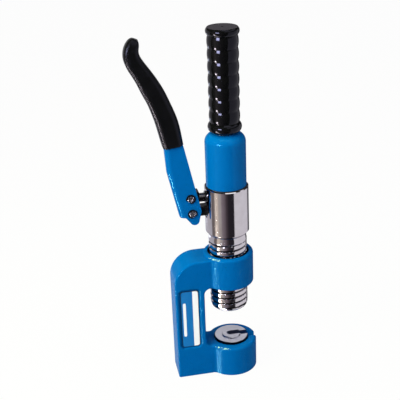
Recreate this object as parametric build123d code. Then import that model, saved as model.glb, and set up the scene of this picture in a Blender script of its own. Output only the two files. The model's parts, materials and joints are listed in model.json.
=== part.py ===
from build123d import *
import os
from math import cos, radians, sin, sqrt

# Hydraulic chain breaker, in millimetres.
# The ram axis is Z, the base stands on Z = 0, the spine is on -X and the plate faces -Y.

# Fits and edges
RUNNING_FIT = 0.06
LOOSE_FIT = 0.3
SEAT_GAP = 0.1
CAST_EDGE = 2.0
BREAK_EDGE = 0.8
CUT_OVER = 1.0

# C-frame casting
SPINE_REACH = 66.9
SPINE_WIDTH = 34.5
FRAME_THICKNESS = 36.0
FRAME_HEIGHT = 152.0
ARM_DEPTH = 36.5
OUTER_CORNER = 29.0
THROAT_TOP_CORNER = 7.5
THROAT_FOOT_CORNER = 8.0
BOSS_BLEND = 5.0
BOSS_RADIUS = 29.7
BOSS_SHIFT = 1.8
BOSS_HEIGHT = 37.3
BOSS_EDGE = 3.2
COLLAR_RADIUS = 29.1
COLLAR_BLEND = 3.5
COLLAR_EDGE = 3.2
COLLAR_LIP = 3.0
MOUTH_CHAMFER = 1.6

# Plate on the spine and its pocket
PLATE_WIDTH = 21.4
PLATE_HEIGHT = 75.0
PLATE_THICKNESS = 0.6
PLATE_CORNER = 2.6
PLATE_CENTRE_Z = 78.2
PLATE_OFFSET = 0.8
PLATE_MARGIN = 0.9
POCKET_DEPTH = 1.5
POCKET_EDGE = 0.9

# Anvil die
DIE_RADIUS = 20.2
DIE_SHIFT = 1.4
DIE_THICKNESS = 18.3
DIE_STAND = 3.0
DIE_CLEARANCE = 0.7
DIE_SLOT_WIDTH = 8.5
DIE_NOSE_RADIUS = 11.4
DIE_NOSE_HEIGHT = 1.6
NOTCH_WIDTH = 11.0

# Threaded cylinder barrel, hanging from the pump body's shoulder
SHOULDER_LIFT = 26.4
BARREL_LENGTH = 97.9
BARREL_RADIUS = 22.0
BARREL_BORE = 16.0
BARREL_END_RADIUS = 18.6
BARREL_END_LENGTH = 7.0
NECK_RADIUS = 21.6
NECK_LENGTH = 9.4
SPIGOT_RADIUS = 19.0
SPIGOT_LENGTH = 10.0

# Pump body
BODY_RADIUS = 25.0
BODY_LENGTH = 55.1
TANK_SPIGOT_RADIUS = 20.6
TANK_SPIGOT_LENGTH = 12.0
SIDE_FLAT_DEPTH = 0.8
SIDE_FLAT_WIDTH = 12.4
SIDE_FLAT_DROP = 8.0
OIL_PORT_RADIUS = 1.5

# Barrel washer between the barrel and the pump body
WASHER_THICKNESS = 1.8
WASHER_BORE = 4.0

# Ram, punch and what holds them
ROD_RADIUS = 10.0
ROD_INSET = 2.5
PISTON_LENGTH = 14.0
PISTON_DROP = 7.4
SEAL_SECTION = 3.0
SEAL_DEPTH = 2.6
GLAND_RADIUS = 17.2
GLAND_LENGTH = 14.0
GLAND_INSET = 1.0
WIPER_SECTION = 3.2
PUNCH_RADIUS = 3.4
PUNCH_STAND = 10.5
PUNCH_SOCKET = 16.0
SPRING_WIRE = 1.3
SPRING_MEAN_RADIUS = 12.8
SPRING_TURNS = 6

# Lever linkage on the body's side flat
LUG_REACH = 16.7
LUG_LEVEL = 27.3
LUG_HEIGHT = 10.8
LUG_RISE = 0.8
LUG_SHANK_RADIUS = 4.0
LUG_SHANK_LENGTH = 8.0
LINK_RISE = 18.2
LINK_BACK = 1.3
LINK_PIN_RADIUS = 3.65
LINK_PIN_HEAD_RADIUS = 5.2
LINK_PIN_HEAD_LENGTH = 2.0
LINK_PIN_TAIL = 2.4
CLIP_RADIUS = 5.4
CLIP_THICKNESS = 0.9
CLIP_GROOVE_DEPTH = 0.7
CLIP_STANDOFF = 0.15
CLIP_MOUTH = 5.2
PIVOT_CLIP_TURN = -60.0
PLUNGER_CLIP_TURN = -130.0
PLUNGER_DROP = 2.4
PLUNGER_RADIUS = 5.0
PLUNGER_LENGTH = 14.0
PLUNGER_STROKE = 5.4
EYE_FRONT = 10.2
EYE_BACK = 6.4
EYE_TOP = 6.6
EYE_BOTTOM = 8.4
EYE_SLOT_RISE = 0.5
EYE_SLOT_DROP = 2.3
EYE_SIDE_PLAY = 0.4
EYE_EDGE = 1.6
PLUNGER_GLAND_RADIUS = 7.0
PLUNGER_GLAND_LENGTH = 7.0
PLUNGER_GLAND_STAND = 1.0
PLUNGER_SEAL_LENGTH = 2.0

# Pressed lever, measured from its pivot pin: back is away from the pump, rise is up
LEVER_WIDTH = 16.0
LEVER_SHEET = 2.2
LEVER_BEND = 6.0
LEVER_LEAN = 0.2176
LEVER_FOOT_BACK = 13.9
LEVER_FOOT_DROP = 4.4
LEVER_FOOT_CORNER = 1.2
LEVER_FRONT = 10.0
LEVER_FRONT_RISE = 4.0
LEVER_KINK_RISE = 50.0
LOBE_START_BACK = 7.7
LOBE_DEPTH = 14.1
LOBE_BACK = 0.2
LOBE_FRONT = 6.6
LOBE_REACH = 10.4
LOBE_RISE = 2.0
LOBE_START_FILLET = 2.5
LOBE_FILLET = 5.0
TONGUE_RISE = 121.0
TONGUE_WIDTH = 14.0
TONGUE_STEP = 4.8
TONGUE_INSET = 3.0

# Dipped grip on the lever's tongue, measured from the same pin
GRIP_START_RISE = 81.0
GRIP_CORNER_SHARE = 0.62
GRIP_STATIONS = (
    # back, rise, lean in degrees, half width, half thickness
    (17.45, 81.0, 8.0, 11.25, 10.4),
    (18.4, 86.0, 9.2, 11.5, 10.55),
    (19.45, 91.5, 10.5, 11.75, 10.7),
    (21.3, 101.0, 13.0, 12.0, 10.8),
    (26.5, 119.5, 18.0, 11.7, 10.6),
    (33.6, 138.0, 24.0, 11.3, 10.2),
    (42.7, 156.0, 29.0, 10.3, 9.6),
    (50.3, 169.0, 27.0, 9.4, 9.0),
    (56.0, 183.0, 12.0, 8.5, 8.4),
    (54.2, 193.0, -14.0, 7.0, 7.2),
    (50.8, 199.8, -22.0, 3.0, 2.8),
)

# Check valves in the pump body, placed from the plunger's axis
VALVE_X = 9.5
VALVE_POCKET_RADIUS = 3.6
BALL_RADIUS = 3.0
VALVE_PASSAGE_RADIUS = 1.8
VALVE_SPRING_WIRE = 0.4
VALVE_SPRING_RADIUS = 2.4
VALVE_SPRING_TURNS = 4
DELIVERY_SEAT_DROP = 12.2
SUCTION_SEAT_RISE = 15.8
SUCTION_FLOOR_RISE = 5.8

# Oil tank, bladder and release needle
TANK_RADIUS = 22.85
TANK_LENGTH = 61.4
TANK_SHOULDER = 10.5
TANK_SEAL_RADIUS = 23.5
TANK_SEAL_THICKNESS = 1.0
BLADDER_RADIUS = 17.0
BLADDER_BORE = 6.0
BLADDER_LENGTH = 34.0
BLADDER_ROUND = 4.0
NEEDLE_RADIUS = 3.0
NEEDLE_SEAT_RISE = 3.5
NEEDLE_TIP = 2.5

# Handle core and ribbed grip
CORE_RADIUS = 12.5
CORE_WALL = 3.0
CORE_SPIGOT = 4.0
GRIP_LIFT = 1.6
GRIP_LENGTH = 114.1
GRIP_ROOF = 6.7
GRIP_FACE_RADIUS = 16.5
GRIP_VALLEY_RADIUS = 16.1
GRIP_RIB_RADIUS = 17.1
GRIP_RIBS = 7
TOP_FLANGE_RADIUS = 18.2
TOP_FLANGE_HEIGHT = 8.0
BOTTOM_FLANGE_RADIUS = 18.85
BOTTOM_FLANGE_HEIGHT = 11.0
GRIP_VENT_RADIUS = 1.4

# Levels and places that several pieces share
THROAT_TOP_Z = FRAME_HEIGHT - ARM_DEPTH
COLLAR_TOP_Z = FRAME_HEIGHT + COLLAR_LIP
DIE_TOP_Z = BOSS_HEIGHT + DIE_STAND
DIE_SEAT_Z = DIE_TOP_Z - DIE_THICKNESS
BODY_SHOULDER_Z = COLLAR_TOP_Z + SHOULDER_LIFT
BODY_TOP_Z = BODY_SHOULDER_Z + BODY_LENGTH
BARREL_BOTTOM_Z = BODY_SHOULDER_Z - BARREL_LENGTH
SPIGOT_TOP_Z = BODY_SHOULDER_Z + SPIGOT_LENGTH
WASHER_Z = SPIGOT_TOP_Z + SEAT_GAP
BODY_FLOOR_Z = WASHER_Z + WASHER_THICKNESS + SEAT_GAP
GLAND_BOTTOM_Z = BARREL_BOTTOM_Z + GLAND_INSET
GLAND_TOP_Z = GLAND_BOTTOM_Z + GLAND_LENGTH
PISTON_TOP_Z = BODY_SHOULDER_Z - PISTON_DROP
PISTON_BOTTOM_Z = PISTON_TOP_Z - PISTON_LENGTH
ROD_END_Z = BARREL_BOTTOM_Z + ROD_INSET
SIDE_FLAT_X = BODY_RADIUS - SIDE_FLAT_DEPTH
LEVER_PIN_X = SIDE_FLAT_X + LUG_REACH
LEVER_PIN_Z = BODY_SHOULDER_Z + LUG_LEVEL
PLUNGER_PIN_X = LEVER_PIN_X + LINK_BACK
PLUNGER_PIN_Z = LEVER_PIN_Z + LINK_RISE
PLUNGER_Z = PLUNGER_PIN_Z - PLUNGER_DROP
PLUNGER_FACE_X = PLUNGER_PIN_X - EYE_FRONT
PLUNGER_TIP_X = PLUNGER_FACE_X - PLUNGER_LENGTH
CHAMBER_END_X = PLUNGER_TIP_X - PLUNGER_STROKE - LOOSE_FIT
DELIVERY_SEAT_Z = PLUNGER_Z - DELIVERY_SEAT_DROP
SUCTION_SEAT_Z = PLUNGER_Z + SUCTION_SEAT_RISE
SUCTION_FLOOR_Z = PLUNGER_Z + SUCTION_FLOOR_RISE
TANK_SPIGOT_TOP_Z = BODY_TOP_Z + TANK_SPIGOT_LENGTH
TANK_BOTTOM_Z = BODY_TOP_Z + TANK_SEAL_THICKNESS + RUNNING_FIT
TANK_TOP_Z = TANK_BOTTOM_Z + TANK_LENGTH
NEEDLE_SEAT_Z = BODY_TOP_Z + NEEDLE_SEAT_RISE
CORE_BOTTOM_Z = TANK_TOP_Z - CORE_SPIGOT
GRIP_BOTTOM_Z = TANK_TOP_Z + GRIP_LIFT
GRIP_TOP_Z = GRIP_BOTTOM_Z + GRIP_LENGTH
CORE_TOP_Z = GRIP_TOP_Z - GRIP_ROOF
LEVER_GAP = LEVER_WIDTH - 2 * LEVER_SHEET
LINK_WIDTH = LEVER_GAP - 2 * LOOSE_FIT


def post(radius, bottom, top, x=0.0):
    """Upright round bar between two levels."""
    return Pos(x, 0, bottom) * Cylinder(radius, top - bottom, align=(Align.CENTER, Align.CENTER, Align.MIN))


def ring(outer, inner, bottom, top):
    """Upright round tube between two levels."""
    return post(outer, bottom, top) - post(inner, bottom - CUT_OVER, top + CUT_OVER)


def bar_x(radius, low, high, z):
    """Round bar along X between two places, at one level."""
    bar = Cylinder(radius, high - low, align=(Align.CENTER, Align.CENTER, Align.MIN))
    return Pos(low, 0, z) * Rot(0, 90, 0) * bar


def bar_y(radius, low, high, x, z):
    """Round bar along Y between two places."""
    bar = Cylinder(radius, high - low, align=(Align.CENTER, Align.CENTER, Align.MIN))
    return Pos(x, high, z) * Rot(90, 0, 0) * bar


def plate_y(outline, half_width):
    """Outline in X and Z carried half_width each way along Y."""
    return extrude(Plane.XZ * outline, amount=half_width, both=True)


def spun(profile):
    """Half section in radius and height, turned about the ram axis."""
    return revolve(Plane.XZ * make_face(profile), Axis.Z)


def nearest_corner(outline, x, z):
    return outline.vertices().sort_by_distance((x, z, 0))[0]


def coil(mean_radius, wire, bottom, top, turns, x=0.0):
    """Helical compression spring standing between two levels."""
    height = top - bottom - 2 * wire
    path = Helix(pitch=height / turns, height=height, radius=mean_radius)
    start = Plane(origin=path @ 0, z_dir=path % 0)
    return Pos(x, 0, bottom + wire) * sweep(start * Circle(wire), path=path, is_frenet=True)


def c_frame():
    """Cast C-frame: spine, arm with threaded collar, foot boss, die pocket and plate pocket."""
    back = -SPINE_REACH
    inner = back + SPINE_WIDTH
    side = make_face(
        Polyline(
            (back, -BOSS_EDGE),
            (0, -BOSS_EDGE),
            (0, BOSS_HEIGHT),
            (inner, BOSS_HEIGHT),
            (inner, THROAT_TOP_Z),
            (0, THROAT_TOP_Z),
            (0, FRAME_HEIGHT),
            (back, FRAME_HEIGHT),
            close=True,
        )
    )
    side = fillet(nearest_corner(side, back, FRAME_HEIGHT), OUTER_CORNER)
    side = fillet(nearest_corner(side, inner, THROAT_TOP_Z), THROAT_TOP_CORNER)
    side = fillet(nearest_corner(side, inner, BOSS_HEIGHT), THROAT_FOOT_CORNER)
    spine = plate_y(side, FRAME_THICKNESS / 2)
    spine = fillet(spine.faces().filter_by(Axis.Y).edges(), CAST_EDGE)

    boss = blended_post(BOSS_RADIUS, BOSS_SHIFT, BOSS_BLEND, -BOSS_EDGE, BOSS_HEIGHT, BOSS_EDGE)
    shank = blended_post(COLLAR_RADIUS, 0, COLLAR_BLEND, THROAT_TOP_Z, FRAME_HEIGHT, CAST_EDGE)
    collar = post(COLLAR_RADIUS, THROAT_TOP_Z, COLLAR_TOP_Z)
    collar = fillet(collar.edges().filter_by(GeomType.CIRCLE).sort_by(Axis.Z)[-1], COLLAR_EDGE)
    collar = fillet(collar.edges().filter_by(GeomType.CIRCLE).sort_by(Axis.Z)[0], CAST_EDGE)

    die_pocket = post(DIE_RADIUS + DIE_CLEARANCE, DIE_SEAT_Z, BOSS_HEIGHT + CUT_OVER, DIE_SHIFT)
    notch = Pos(0, 0, DIE_SEAT_Z) * Box(
        BOSS_SHIFT + BOSS_RADIUS + CUT_OVER,
        NOTCH_WIDTH,
        BOSS_HEIGHT + CUT_OVER - DIE_SEAT_Z,
        align=(Align.MIN, Align.CENTER, Align.MIN),
    )
    plate_pocket = plate_block(PLATE_MARGIN, POCKET_DEPTH + CUT_OVER)
    machined_off = Box(
        4 * SPINE_REACH, 4 * BOSS_RADIUS, 2 * BOSS_EDGE, align=(Align.CENTER, Align.CENTER, Align.MAX)
    )
    casting = spine + boss + shank + collar - machined_off
    casting = casting - collar_bore() - die_pocket - notch - plate_pocket
    mouth = casting.edges().filter_by(lambda edge: on_plate_mouth(edge.center()))
    return fillet(mouth, POCKET_EDGE)


def blended_post(radius, centre_x, blend, bottom, top, edge):
    """Round post that runs into the spine's width with hollow corners, its edges rounded."""
    reach = SPINE_REACH - OUTER_CORNER
    plan = Pos(centre_x, 0) * Circle(radius)
    plan += Rectangle(reach, FRAME_THICKNESS, align=(Align.MAX, Align.CENTER))
    corner_x = centre_x - sqrt(radius * radius - FRAME_THICKNESS * FRAME_THICKNESS / 4)
    for side in (-1, 1):
        plan = fillet(nearest_corner(plan, corner_x, side * FRAME_THICKNESS / 2), blend)
    block = Pos(0, 0, bottom) * extrude(plan, amount=top - bottom)
    return fillet(block.faces().filter_by(Axis.Z).edges(), edge)


def on_plate_mouth(point):
    """Whether a point of the front face lies on the plate pocket's outline."""
    on_face = abs(point.Y + FRAME_THICKNESS / 2) < SEAT_GAP
    centre_x = -SPINE_REACH + SPINE_WIDTH / 2 - PLATE_OFFSET
    beside = abs(point.X - centre_x) < PLATE_WIDTH / 2 + PLATE_MARGIN + SEAT_GAP
    level = abs(point.Z - PLATE_CENTRE_Z) < PLATE_HEIGHT / 2 + PLATE_MARGIN + SEAT_GAP
    return on_face and beside and level


def collar_bore():
    """Bore for the barrel's thread, with a chamfered mouth at each end."""
    radius = BARREL_RADIUS + RUNNING_FIT
    bore = post(radius, THROAT_TOP_Z - CUT_OVER, COLLAR_TOP_Z + CUT_OVER)
    for mouth, away in ((COLLAR_TOP_Z, 1), (THROAT_TOP_Z, -1)):
        bore += spun(
            Polyline(
                (0, mouth - away * MOUTH_CHAMFER),
                (radius, mouth - away * MOUTH_CHAMFER),
                (radius + MOUTH_CHAMFER, mouth),
                (radius + MOUTH_CHAMFER, mouth + away * CUT_OVER),
                (0, mouth + away * CUT_OVER),
                close=True,
            )
        )
    return bore


def plate_block(margin, depth):
    """Rounded block at the plate's place, from the pocket's floor outwards."""
    face = RectangleRounded(
        PLATE_WIDTH + 2 * margin, PLATE_HEIGHT + 2 * margin, PLATE_CORNER + margin
    )
    centre_x = -SPINE_REACH + SPINE_WIDTH / 2 - PLATE_OFFSET
    floor_y = POCKET_DEPTH - FRAME_THICKNESS / 2
    floor = Plane(origin=(centre_x, floor_y, PLATE_CENTRE_Z), x_dir=(1, 0, 0), z_dir=(0, -1, 0))
    return extrude(floor * face, amount=depth)


def name_plate():
    """Thin bare plate on the pocket's floor."""
    return plate_block(0.0, PLATE_THICKNESS)


def anvil_die():
    """Slotted steel die with a raised nose; the slot lets the pressed-out pin leave sideways."""
    nose_top = DIE_TOP_Z + DIE_NOSE_HEIGHT
    disc = post(DIE_RADIUS, DIE_SEAT_Z, DIE_TOP_Z, DIE_SHIFT)
    disc = chamfer(disc.edges().sort_by(Axis.Z)[-1], BREAK_EDGE)
    nose = post(DIE_NOSE_RADIUS, DIE_TOP_Z, nose_top, DIE_SHIFT)
    nose = chamfer(nose.edges().sort_by(Axis.Z)[-1], BREAK_EDGE)
    slot = Pos(0, 0, DIE_SEAT_Z - CUT_OVER) * Box(
        DIE_SHIFT + DIE_RADIUS + CUT_OVER,
        DIE_SLOT_WIDTH,
        nose_top - DIE_SEAT_Z + 2 * CUT_OVER,
        align=(Align.MIN, Align.CENTER, Align.MIN),
    )
    pin_hole = post(DIE_SLOT_WIDTH / 2, DIE_SEAT_Z - CUT_OVER, nose_top + CUT_OVER)
    return disc + nose - slot - pin_hole


def cylinder_barrel():
    """Cylinder barrel: screwed outside for the collar, bored for the ram, closed by the end gland."""
    thread_top = BODY_SHOULDER_Z - NECK_LENGTH
    step = BARREL_RADIUS - NECK_RADIUS
    outside = spun(
        Polyline(
            (0, BARREL_BOTTOM_Z),
            (BARREL_END_RADIUS, BARREL_BOTTOM_Z),
            (BARREL_RADIUS, BARREL_BOTTOM_Z + BARREL_END_LENGTH),
            (BARREL_RADIUS, thread_top - step),
            (NECK_RADIUS, thread_top),
            (NECK_RADIUS, BODY_SHOULDER_Z),
            (SPIGOT_RADIUS, BODY_SHOULDER_Z),
            (SPIGOT_RADIUS, SPIGOT_TOP_Z),
            (0, SPIGOT_TOP_Z),
            close=True,
        )
    )
    bore = post(BARREL_BORE, GLAND_TOP_Z - CUT_OVER, SPIGOT_TOP_Z + CUT_OVER)
    gland_seat = post(GLAND_RADIUS, BARREL_BOTTOM_Z - CUT_OVER, GLAND_TOP_Z)
    return outside - bore - gland_seat


def barrel_washer():
    """Soft washer on top of the barrel's spigot."""
    return ring(SPIGOT_RADIUS - LOOSE_FIT, WASHER_BORE, WASHER_Z, WASHER_Z + WASHER_THICKNESS)


def end_gland():
    """Screwed ring that closes the barrel, guides the rod and holds the wiper."""
    gland = ring(GLAND_RADIUS, ROD_RADIUS + RUNNING_FIT, GLAND_BOTTOM_Z, GLAND_TOP_Z)
    return gland - wiper_ring(SEAT_GAP)


def wiper_ring(grow=0.0):
    """Square rubber wiper ring in the end gland; grow makes its groove."""
    centre = GLAND_BOTTOM_Z + GLAND_LENGTH / 2
    half = WIPER_SECTION / 2 + grow
    inner = ROD_RADIUS + RUNNING_FIT
    return ring(inner + 2 * half, inner, centre - half, centre + half)


def ram_piston():
    """Piston and rod in one piece, with a seal groove and a socket for the punch."""
    piston = post(BARREL_BORE - RUNNING_FIT, PISTON_BOTTOM_Z, PISTON_TOP_Z)
    rod = post(ROD_RADIUS, ROD_END_Z, PISTON_BOTTOM_Z + CUT_OVER)
    rod = chamfer(rod.edges().sort_by(Axis.Z)[0], BREAK_EDGE)
    socket = post(PUNCH_RADIUS, ROD_END_Z - CUT_OVER, ROD_END_Z + PUNCH_SOCKET)
    return piston + rod - seal_ring(SEAT_GAP) - socket


def seal_ring(grow=0.0):
    """Ring that fills the piston's groove; grow makes the groove."""
    centre = (PISTON_BOTTOM_Z + PISTON_TOP_Z) / 2
    half = SEAL_SECTION / 2 + grow
    outer = BARREL_BORE - RUNNING_FIT
    return ring(outer, outer - SEAL_DEPTH - grow, centre - half, centre + half)


def punch_pin():
    """Hardened punch in the rod's end, with a broken edge at its tip."""
    pin = post(PUNCH_RADIUS, ROD_END_Z - PUNCH_STAND, ROD_END_Z + PUNCH_SOCKET)
    return chamfer(pin.edges().sort_by(Axis.Z)[0], BREAK_EDGE)


def return_spring():
    """Coil that pushes the piston back up from the end gland."""
    bottom = GLAND_TOP_Z + SEAT_GAP
    return coil(SPRING_MEAN_RADIUS, SPRING_WIRE, bottom, PISTON_BOTTOM_Z - SEAT_GAP, SPRING_TURNS)


def pump_body():
    """Turned pump body: tank spigot, linkage flat, barrel seat, bores and valve pockets."""
    outside = post(BODY_RADIUS, BODY_SHOULDER_Z, BODY_TOP_Z)
    outside = chamfer(outside.edges().filter_by(GeomType.CIRCLE), BREAK_EDGE)
    outside += post(TANK_SPIGOT_RADIUS, BODY_TOP_Z, TANK_SPIGOT_TOP_Z)
    flat_bottom = LEVER_PIN_Z - SIDE_FLAT_DROP
    flat = Pos(-SIDE_FLAT_X, 0, flat_bottom) * Box(
        BODY_RADIUS,
        SIDE_FLAT_WIDTH,
        BODY_TOP_Z - BREAK_EDGE - flat_bottom,
        align=(Align.MAX, Align.CENTER, Align.MIN),
    )
    barrel_seat = post(SPIGOT_RADIUS, BODY_SHOULDER_Z - CUT_OVER, BODY_FLOOR_Z)
    solid = outside - flat - barrel_seat - lug_shank(CUT_OVER)
    return solid - plunger_bores() - valve_bores() - release_bore()


def plunger_bores():
    """Gland seat, pump chamber and the passage to the valves, along the plunger's axis."""
    mouth = -SIDE_FLAT_X - CUT_OVER
    bores = bar_x(PLUNGER_GLAND_RADIUS, mouth, -SIDE_FLAT_X + PLUNGER_GLAND_LENGTH, PLUNGER_Z)
    bores += bar_x(PLUNGER_RADIUS + RUNNING_FIT, mouth, -CHAMBER_END_X, PLUNGER_Z)
    return bores + bar_x(VALVE_PASSAGE_RADIUS, -CHAMBER_END_X - CUT_OVER, -VALVE_X, PLUNGER_Z)


def valve_bores():
    """Pockets and passages of both check valves, one above the other."""
    bores = post(VALVE_POCKET_RADIUS, BODY_FLOOR_Z - CUT_OVER, DELIVERY_SEAT_Z, -VALVE_X)
    bores += post(VALVE_PASSAGE_RADIUS, DELIVERY_SEAT_Z - CUT_OVER, SUCTION_FLOOR_Z + CUT_OVER, -VALVE_X)
    bores += post(VALVE_POCKET_RADIUS, SUCTION_FLOOR_Z, SUCTION_SEAT_Z, -VALVE_X)
    spigot_over = TANK_SPIGOT_TOP_Z + CUT_OVER
    return bores + post(VALVE_PASSAGE_RADIUS, SUCTION_SEAT_Z - CUT_OVER, spigot_over, -VALVE_X)


def release_bore():
    """Oil return from the barrel to the needle's guide."""
    port = post(OIL_PORT_RADIUS, BODY_FLOOR_Z - CUT_OVER, NEEDLE_SEAT_Z + CUT_OVER)
    return port + post(NEEDLE_RADIUS + RUNNING_FIT, NEEDLE_SEAT_Z, TANK_SPIGOT_TOP_Z + CUT_OVER)


def lug_shank(over=0.0):
    """Shank of the pivot lug in the body; over lengthens it outwards."""
    return bar_x(LUG_SHANK_RADIUS, -SIDE_FLAT_X - over, -SIDE_FLAT_X + LUG_SHANK_LENGTH, LEVER_PIN_Z)


def pivot_lug():
    """Black lug with a round eye for the lever's pivot pin and a shank in the body."""
    block = Pos(-LEVER_PIN_X, 0, LEVER_PIN_Z + LUG_RISE) * Box(
        LUG_REACH, LINK_WIDTH, LUG_HEIGHT, align=(Align.MIN, Align.CENTER, Align.CENTER)
    )
    eye = bar_y(LUG_HEIGHT / 2, -LINK_WIDTH / 2, LINK_WIDTH / 2, -LEVER_PIN_X, LEVER_PIN_Z)
    hole = bar_y(LINK_PIN_RADIUS + RUNNING_FIT, -LEVER_WIDTH, LEVER_WIDTH, -LEVER_PIN_X, LEVER_PIN_Z)
    return block + eye + lug_shank(CUT_OVER) - hole


def pump_plunger():
    """Plunger rod with a flat eye; the eye's slot takes up the rise and fall of the lever's pin."""
    eye = Pos(-PLUNGER_PIN_X - EYE_BACK, 0, PLUNGER_PIN_Z - EYE_BOTTOM) * Box(
        EYE_FRONT + EYE_BACK, LINK_WIDTH, EYE_TOP + EYE_BOTTOM, align=(Align.MIN, Align.CENTER, Align.MIN)
    )
    eye = fillet(eye.edges().filter_by(Axis.Y), EYE_EDGE)
    half = LINK_PIN_RADIUS + EYE_SIDE_PLAY
    slot_middle = PLUNGER_PIN_Z + (EYE_SLOT_RISE - EYE_SLOT_DROP) / 2
    slot = SlotOverall(2 * half + EYE_SLOT_RISE + EYE_SLOT_DROP, 2 * half, rotation=90)
    rod = bar_x(PLUNGER_RADIUS, -PLUNGER_FACE_X - CUT_OVER, -PLUNGER_TIP_X, PLUNGER_Z)
    return eye - plate_y(Pos(-PLUNGER_PIN_X, slot_middle) * slot, LEVER_WIDTH) + rod


def plunger_sleeve(low, high):
    """Sleeve round the plunger in its gland seat, between two places along X."""
    hole = bar_x(PLUNGER_RADIUS + RUNNING_FIT, low - CUT_OVER, high + CUT_OVER, PLUNGER_Z)
    return bar_x(PLUNGER_GLAND_RADIUS, low, high, PLUNGER_Z) - hole


def plunger_gland():
    """Screwed gland that guides the plunger and traps its seal."""
    inner_end = PLUNGER_GLAND_LENGTH - PLUNGER_SEAL_LENGTH - SIDE_FLAT_X
    return plunger_sleeve(-SIDE_FLAT_X - PLUNGER_GLAND_STAND, inner_end)


def plunger_seal():
    """Seal at the bottom of the gland seat."""
    inner_end = PLUNGER_GLAND_LENGTH - SIDE_FLAT_X
    return plunger_sleeve(inner_end - PLUNGER_SEAL_LENGTH, inner_end)


def web_back(rise):
    """How far the lever's web lies behind the pivot pin at a height above it."""
    return -(LEVER_FOOT_BACK + LEVER_LEAN * (rise + LEVER_FOOT_DROP))


def flange_front(rise):
    """Where the free edge of the lever's flanges lies at a height above the pivot pin."""
    return LEVER_FRONT - LEVER_LEAN * (rise - LEVER_FRONT_RISE)


def lever_outline():
    """Side view of the lever about its pin: lobes below, a kink in the back edge, the tongue on top."""
    tongue_back = web_back(GRIP_START_RISE) + TONGUE_STEP
    lean = web_back(TONGUE_RISE) - web_back(GRIP_START_RISE)
    outline = make_face(
        Polyline(
            (web_back(-LEVER_FOOT_DROP), -LEVER_FOOT_DROP),
            (-LOBE_START_BACK, -LEVER_FOOT_DROP),
            (-LOBE_BACK, -LOBE_DEPTH),
            (LOBE_FRONT, -LOBE_DEPTH),
            (LOBE_REACH, LOBE_RISE),
            (flange_front(GRIP_START_RISE), GRIP_START_RISE),
            (tongue_back + TONGUE_WIDTH + lean, TONGUE_RISE),
            (tongue_back + TONGUE_INSET + lean, TONGUE_RISE),
            (tongue_back + TONGUE_INSET, GRIP_START_RISE),
            (tongue_back, GRIP_START_RISE),
            (web_back(LEVER_KINK_RISE), LEVER_KINK_RISE),
            close=True,
        )
    )
    for x, z, radius in (
        (web_back(-LEVER_FOOT_DROP), -LEVER_FOOT_DROP, LEVER_FOOT_CORNER),
        (-LOBE_START_BACK, -LEVER_FOOT_DROP, LOBE_START_FILLET),
        (-LOBE_BACK, -LOBE_DEPTH, LOBE_FILLET),
        (LOBE_FRONT, -LOBE_DEPTH, LOBE_FILLET),
        (LOBE_REACH, LOBE_RISE, LOBE_FILLET),
    ):
        outline = fillet(nearest_corner(outline, x, z), radius)
    return Pos(-LEVER_PIN_X, LEVER_PIN_Z) * outline


def web_space(inset, half_width, bend):
    """All that lies in front of the lever's back face, with bent corners; inset steps in from that face."""
    low = -2 * LOBE_DEPTH
    high = 2 * TONGUE_RISE - GRIP_START_RISE
    tongue_back = web_back(GRIP_START_RISE) + TONGUE_STEP
    lean = web_back(TONGUE_RISE) - web_back(GRIP_START_RISE)
    space = make_face(
        Polyline(
            (web_back(low) + inset, low),
            (web_back(LEVER_KINK_RISE) + inset, LEVER_KINK_RISE),
            (tongue_back + inset, GRIP_START_RISE),
            (tongue_back + inset + 2 * lean, high),
            (LEVER_PIN_X, high),
            (LEVER_PIN_X, low),
            close=True,
        )
    )
    solid = plate_y(Pos(-LEVER_PIN_X, LEVER_PIN_Z) * space, half_width)
    long_edges = solid.edges().filter_by(Axis.Y, reverse=True).filter_by(Axis.X, reverse=True)
    return fillet(long_edges.filter_by(lambda edge: edge.center().X < -LEVER_PIN_X), bend)


def lever_blank():
    """The lever's side view at its full width, with the bends of its web."""
    return plate_y(lever_outline(), LEVER_WIDTH / 2) & web_space(0, LEVER_WIDTH / 2, LEVER_BEND)


def lever_channel():
    """Pressed channel, open towards the pump, with pin lobes below and a tongue in the grip."""
    solid = lever_blank() - web_space(LEVER_SHEET, LEVER_GAP / 2, LEVER_BEND - LEVER_SHEET)
    for x, z in link_pins():
        solid -= bar_y(LINK_PIN_RADIUS, -LEVER_WIDTH, LEVER_WIDTH, x, z)
    return solid


def lever_grip():
    """Dipped plastic grip: rounded sections along a curve that hooks at the tip, over the tongue."""
    sections = []
    for back, rise, lean, half_width, half_thickness in GRIP_STATIONS:
        station = Plane(
            origin=(-LEVER_PIN_X - back, 0, LEVER_PIN_Z + rise),
            x_dir=(cos(radians(lean)), 0, sin(radians(lean))),
            z_dir=(-sin(radians(lean)), 0, cos(radians(lean))),
        )
        corner = GRIP_CORNER_SHARE * min(half_width, half_thickness)
        sections.append(station * RectangleRounded(2 * half_width, 2 * half_thickness, corner))
    return loft(sections) - lever_blank()


def link_pins():
    """Places of the pivot pin and the plunger pin."""
    return (-LEVER_PIN_X, LEVER_PIN_Z), (-PLUNGER_PIN_X, PLUNGER_PIN_Z)


def clip_span(grow=0.0):
    """Front and back of a clip, just in front of the lever's flange."""
    back = -LEVER_WIDTH / 2 - CLIP_STANDOFF
    return back - CLIP_THICKNESS - grow, back + grow


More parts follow.
